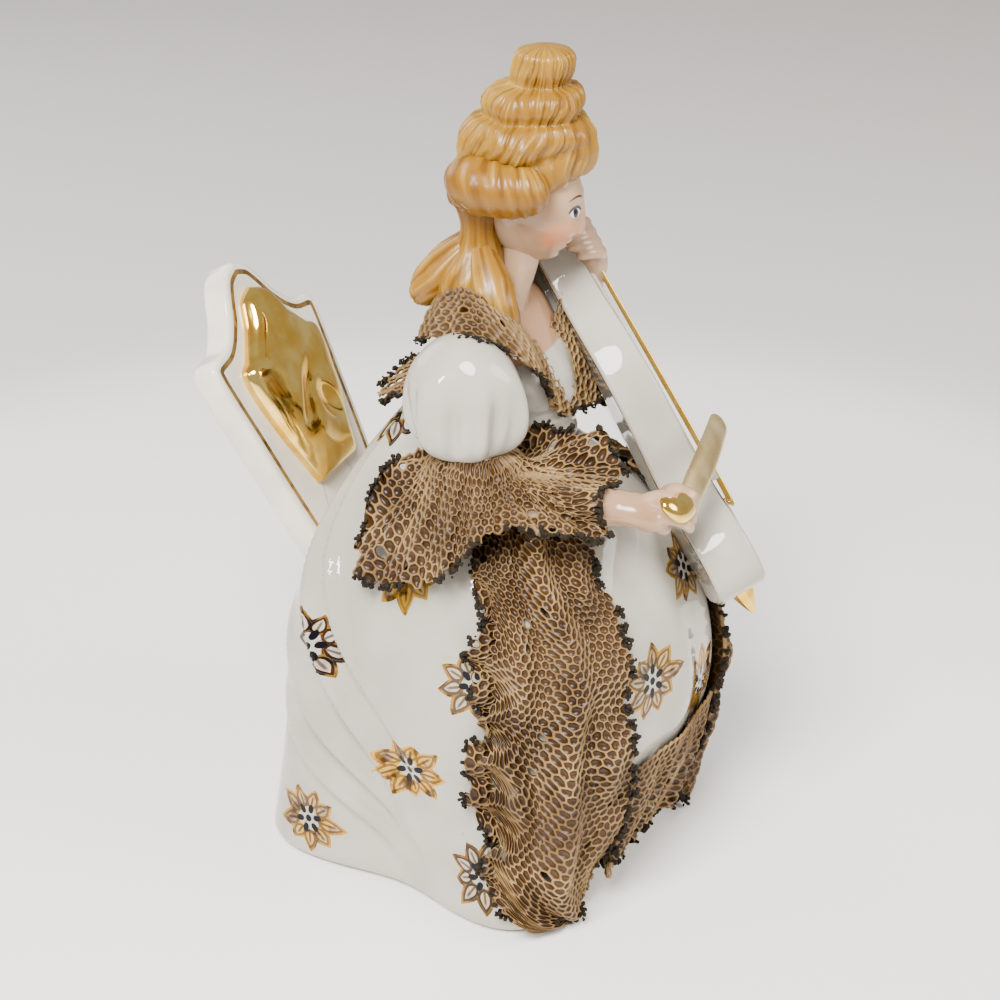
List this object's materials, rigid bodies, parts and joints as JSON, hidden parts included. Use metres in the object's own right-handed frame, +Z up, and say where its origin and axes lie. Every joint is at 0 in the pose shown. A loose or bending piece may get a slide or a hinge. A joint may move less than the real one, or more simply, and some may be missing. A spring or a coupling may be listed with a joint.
{
  "type": "lace porcelain figurine of a seated lady playing a cello",
  "caption": "Seated porcelain lady in a wide flowered gown with net lace ruffles, playing a cello on a gilded chair.",
  "frame": {"origin": "on the flat foot of the gown, under the lady, at the level of the table", "axes": "+Z up, -Y the way the chair and the lady face, +X towards her left hand"},
  "size_m": [0.0773, 0.1157, 0.165],
  "materials": {
    "porcelain": "glossy white glazed porcelain with painted flowers, skin and hair",
    "gilding": "fired gold",
    "lace": "net dipped in slip and fired, stained brown"
  },
  "bodies": {
    "root": {"lady": "porcelain", "chair_back": "porcelain", "cello": "porcelain", "bow": "gilding", "collar_lace": "lace", "sleeve_lace_right": "lace", "sleeve_lace_left": "lace", "back_lace": "lace", "skirt_lace_right": "lace", "skirt_lace_left": "lace", "hem_lace": "lace"}
  },
  "joints": []
}
